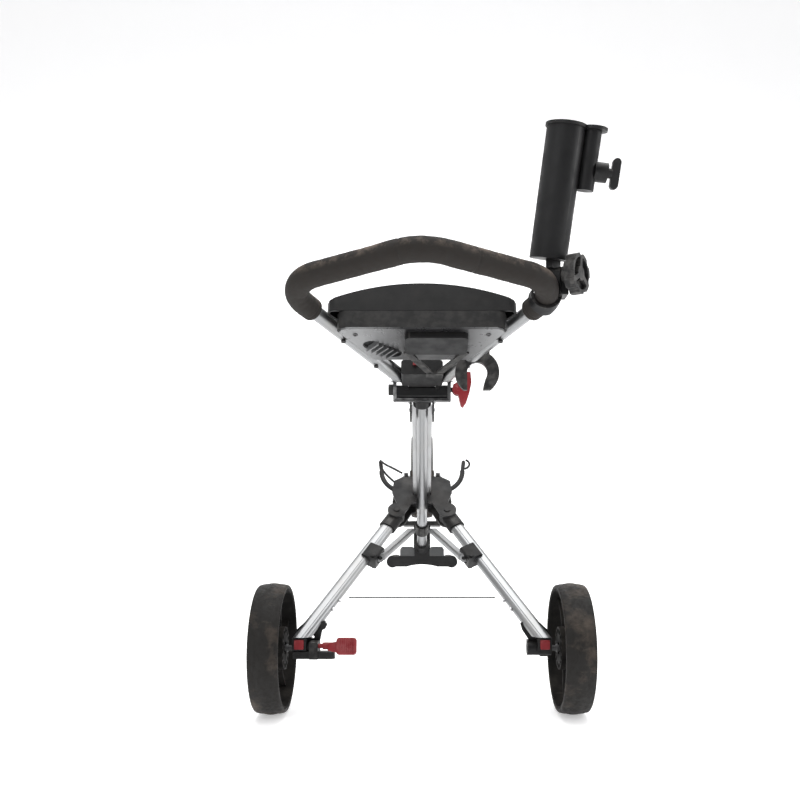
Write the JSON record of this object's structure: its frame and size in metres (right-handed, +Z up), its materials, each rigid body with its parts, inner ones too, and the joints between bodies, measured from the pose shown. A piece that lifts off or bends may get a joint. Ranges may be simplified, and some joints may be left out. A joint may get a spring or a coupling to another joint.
{
  "type": "golf push trolley",
  "caption": "Folding three-wheel golf trolley with hinged handle, lidded console, umbrella holder, folding legs and fork, wheel brakes and bag supports.",
  "frame": {"origin": "on the floor under the middle of the whole outline", "axes": "+X to the user's right, +Y the way it is pushed, +Z up; the user stands at -Y"},
  "size_m": [0.703, 1.1394, 1.0881],
  "materials": {
    "aluminium_tube": "satin, brushed along the tube",
    "steel": "satin",
    "grey_plate": "satin",
    "pad_grey": "matt",
    "black_plastic": "fine moulded grain",
    "charcoal_plastic": "fine moulded grain",
    "cord": "braided",
    "red_plastic": "satin",
    "tyre": "matt, dusty",
    "foam": "closed-cell foam, matt"
  },
  "bodies": {
    "frame": {"main_tube": "aluminium_tube", "spine_rail": "aluminium_tube", "rail_bolts": "steel", "top_hub": "black_plastic", "hub_yoke": "grey_plate", "handle_pin": "steel", "cam_rod": "charcoal_plastic", "upper_bag_bracket": "charcoal_plastic", "lower_hub": "charcoal_plastic", "frame_pins": "steel", "bag_cradle": "charcoal_plastic", "elastic_cords": "cord", "base_rest": "charcoal_plastic", "base_pads": "pad_grey", "brake_cable": "steel"},
    "slider": {"strut_slider": "black_plastic"},
    "cam": {"cam_lever": "red_plastic"},
    "fork": {"front_fork": "charcoal_plastic", "front_axle": "steel"},
    "front_wheel": {"front_tyre": "tyre", "front_rim": "charcoal_plastic"},
    "handle": {"handle_head": "black_plastic", "handle_tube": "aluminium_tube", "foam_grip": "foam", "handle_bolts": "charcoal_plastic", "arm_hook": "charcoal_plastic", "console_tray": "black_plastic", "console_plate": "grey_plate", "console_stays": "charcoal_plastic", "umbrella_clamp": "black_plastic"},
    "release": {"release_button": "red_plastic"},
    "lid": {"console_lid": "black_plastic"},
    "umbrella": {"umbrella_tube": "black_plastic"},
    "tilt_knob": {"clamp_knob": "charcoal_plastic"},
    "thumb_screw": {"wing_screw": "charcoal_plastic"},
    "pedal": {"brake_pedal": "red_plastic"},
    "left_leg": {"left_leg": "aluminium_tube", "left_leg_collar": "black_plastic", "left_leg_block": "black_plastic", "left_bracket": "black_plastic", "left_leg_bolts": "steel", "left_axle": "steel"},
    "left_strut": {"left_strut": "aluminium_tube"},
    "left_wheel": {"left_tyre": "tyre", "left_rim": "charcoal_plastic", "left_bearings": "steel"},
    "left_button": {"left_wheel_button": "red_plastic"},
    "left_pin": {"left_brake_pin": "steel"},
    "right_leg": {"right_leg": "aluminium_tube", "right_leg_collar": "black_plastic", "right_leg_block": "black_plastic", "right_bracket": "black_plastic", "right_leg_bolts": "steel", "right_axle": "steel"},
    "right_strut": {"right_strut": "aluminium_tube"},
    "right_wheel": {"right_tyre": "tyre", "right_rim": "charcoal_plastic", "right_bearings": "steel"},
    "right_button": {"right_wheel_button": "red_plastic"},
    "right_pin": {"right_brake_pin": "steel"}
  },
  "joints": [
    {"name": "left_leg_fold", "type": "hinge", "parent": "frame", "child": "left_leg", "pos_m": [-0.061, 0.19473, 0.422], "axis": [0, -0.7199, 0.694], "range_deg": [0, 22], "deforming": ["brake_cable"]},
    {"name": "left_strut_turn", "type": "hinge", "parent": "left_leg", "child": "left_strut", "pos_m": [-0.09741, 0.09938, 0.32309], "axis": [0.1168, -0.9853, 0.125], "range_deg": [-12.2, 0]},
    {"name": "left_wheel_spin", "type": "hinge", "parent": "left_leg", "child": "left_wheel", "pos_m": [-0.32, -0.04228, 0.14], "axis": [1, 0, 0], "continuous": true},
    {"name": "left_wheel_release", "type": "slide", "parent": "left_leg", "child": "left_button", "axis": [0, 1, 0], "range_m": [0, 0.003]},
    {"name": "left_brake", "type": "slide", "parent": "left_leg", "child": "left_pin", "axis": [-1, 0, 0], "range_m": [0, 0.0161]},
    {"name": "right_leg_fold", "type": "hinge", "parent": "frame", "child": "right_leg", "pos_m": [0.061, 0.19473, 0.422], "axis": [0, 0.7199, -0.694], "range_deg": [0, 22]},
    {"name": "right_strut_turn", "type": "hinge", "parent": "right_leg", "child": "right_strut", "pos_m": [0.09741, 0.09938, 0.32309], "axis": [0.1168, 0.9853, -0.125], "range_deg": [-12.2, 0]},
    {"name": "right_wheel_spin", "type": "hinge", "parent": "right_leg", "child": "right_wheel", "pos_m": [0.32, -0.04228, 0.14], "axis": [1, 0, 0], "continuous": true},
    {"name": "right_wheel_release", "type": "slide", "parent": "right_leg", "child": "right_button", "axis": [0, 1, 0], "range_m": [0, 0.003]},
    {"name": "right_brake", "type": "slide", "parent": "right_leg", "child": "right_pin", "axis": [1, 0, 0], "range_m": [0, 0.0161]},
    {"name": "strut_slide", "type": "slide", "parent": "frame", "child": "slider", "axis": [0, 0.788, -0.6157], "range_m": [0, 0.0153]},
    {"name": "brake_pedal", "type": "hinge", "parent": "left_leg", "child": "pedal", "pos_m": [-0.212, -0.05627, 0.147], "axis": [1, 0, 0], "range_deg": [0, 22]},
    {"name": "cam_clamp", "type": "hinge", "parent": "frame", "child": "cam", "pos_m": [0.0751, -0.09227, 0.69], "axis": [0, -1, 0], "range_deg": [0, 40]},
    {"name": "fork_fold", "type": "hinge", "parent": "frame", "child": "fork", "pos_m": [0, 0.40773, 0.3], "axis": [1, 0, 0], "range_deg": [-132.6, 0]},
    {"name": "front_wheel_spin", "type": "hinge", "parent": "fork", "child": "front_wheel", "pos_m": [0, 0.45472, 0.5225], "axis": [1, 0, 0], "continuous": true},
    {"name": "handle_fold", "type": "hinge", "parent": "frame", "child": "handle", "pos_m": [0, -0.10228, 0.713], "axis": [1, 0, 0], "range_deg": [-95, 15]},
    {"name": "release_press", "type": "slide", "parent": "handle", "child": "release", "axis": [0, 0.9511, -0.309], "range_m": [0, 0.004]},
    {"name": "lid_open", "type": "hinge", "parent": "handle", "child": "lid", "pos_m": [0, -0.26272, 0.76034], "axis": [-1, 0, 0], "range_deg": [0, 80]},
    {"name": "umbrella_tilt", "type": "hinge", "parent": "handle", "child": "umbrella", "pos_m": [0.224, -0.42028, 0.838], "axis": [0.8192, -0.5736, 0], "range_deg": [-20, 30]},
    {"name": "tilt_knob_turn", "type": "hinge", "parent": "handle", "child": "tilt_knob", "pos_m": [0.224, -0.42028, 0.838], "axis": [0.8192, -0.5736, 0], "range_deg": [0, 180]},
    {"name": "thumb_screw_turn", "type": "hinge", "parent": "umbrella", "child": "thumb_screw", "pos_m": [0.31597, -0.44888, 1.0046], "axis": [0.9938, 0.0232, -0.109], "range_deg": [0, 180]}
  ],
  "couplings": [
    {"joint": "right_leg_fold", "follows": "left_leg_fold", "ratio": 1},
    {"joint": "left_strut_turn", "follows": "left_leg_fold", "ratio": -0.5533},
    {"joint": "right_strut_turn", "follows": "left_leg_fold", "ratio": -0.5533},
    {"joint": "strut_slide", "follows": "left_leg_fold", "m_per_rad": 0.03969},
    {"joint": "left_brake", "follows": "brake_pedal", "m_per_rad": 0.04167},
    {"joint": "right_brake", "follows": "brake_pedal", "m_per_rad": 0.04167}
  ]
}
